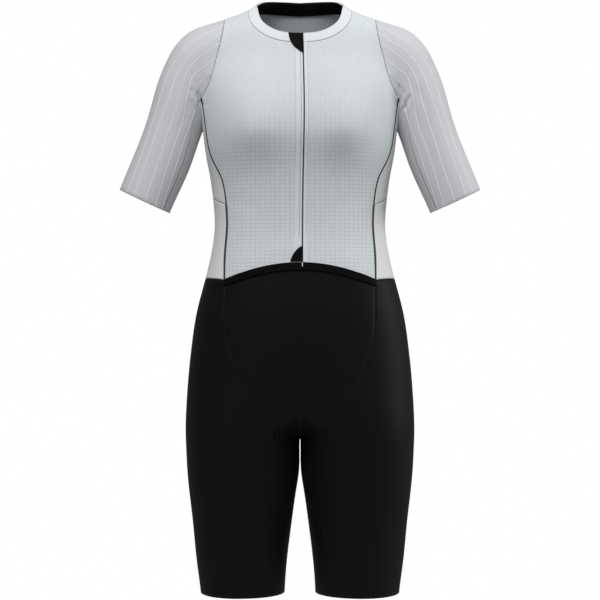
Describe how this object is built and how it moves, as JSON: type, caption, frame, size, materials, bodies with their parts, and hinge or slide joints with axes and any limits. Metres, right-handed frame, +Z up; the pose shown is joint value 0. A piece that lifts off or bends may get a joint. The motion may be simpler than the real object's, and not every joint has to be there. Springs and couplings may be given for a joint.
{
  "type": "triathlon suit",
  "caption": "Women's short-sleeved triathlon suit with a pale mesh bodice, front zip and black knee-length shorts, hollow as it is worn.",
  "frame": {"origin": "midway between the shoulders, level with the neck points, where the wearer's shoulders hold the suit", "axes": "+Z up the suit towards the neck, -Y the way the wearer faces, +X the wearer's left"},
  "size_m": [0.557, 0.241, 0.9205],
  "materials": {
    "mesh": "matt pale grey knit with fine ribs and rows of small dark holes",
    "side_knit": "matt pale grey knit",
    "sleeve_knit": "smooth grey woven stretch cloth with thin pale lines",
    "neck_trim": "smooth pale trim",
    "black_knit": "black stretch knit with a slight sheen",
    "black_trim": "black tape"
  },
  "bodies": {
    "root": {"front_right": "mesh", "front_left": "mesh", "back": "mesh", "side_upper_right": "side_knit", "side_upper_left": "side_knit", "side_lower_right": "side_knit", "side_lower_left": "side_knit", "sleeve_right": "sleeve_knit", "sleeve_left": "sleeve_knit", "undersleeve_right": "sleeve_knit", "undersleeve_left": "sleeve_knit", "neckband": "neck_trim", "back_neck_facing": "black_trim", "zip_tape": "black_trim", "zip_garage": "black_trim", "zip_guard": "black_trim", "waistband": "black_trim", "shorts_front": "black_knit", "short_leg_right": "black_knit", "short_leg_left": "black_knit", "gusset": "black_knit"}
  },
  "joints": []
}
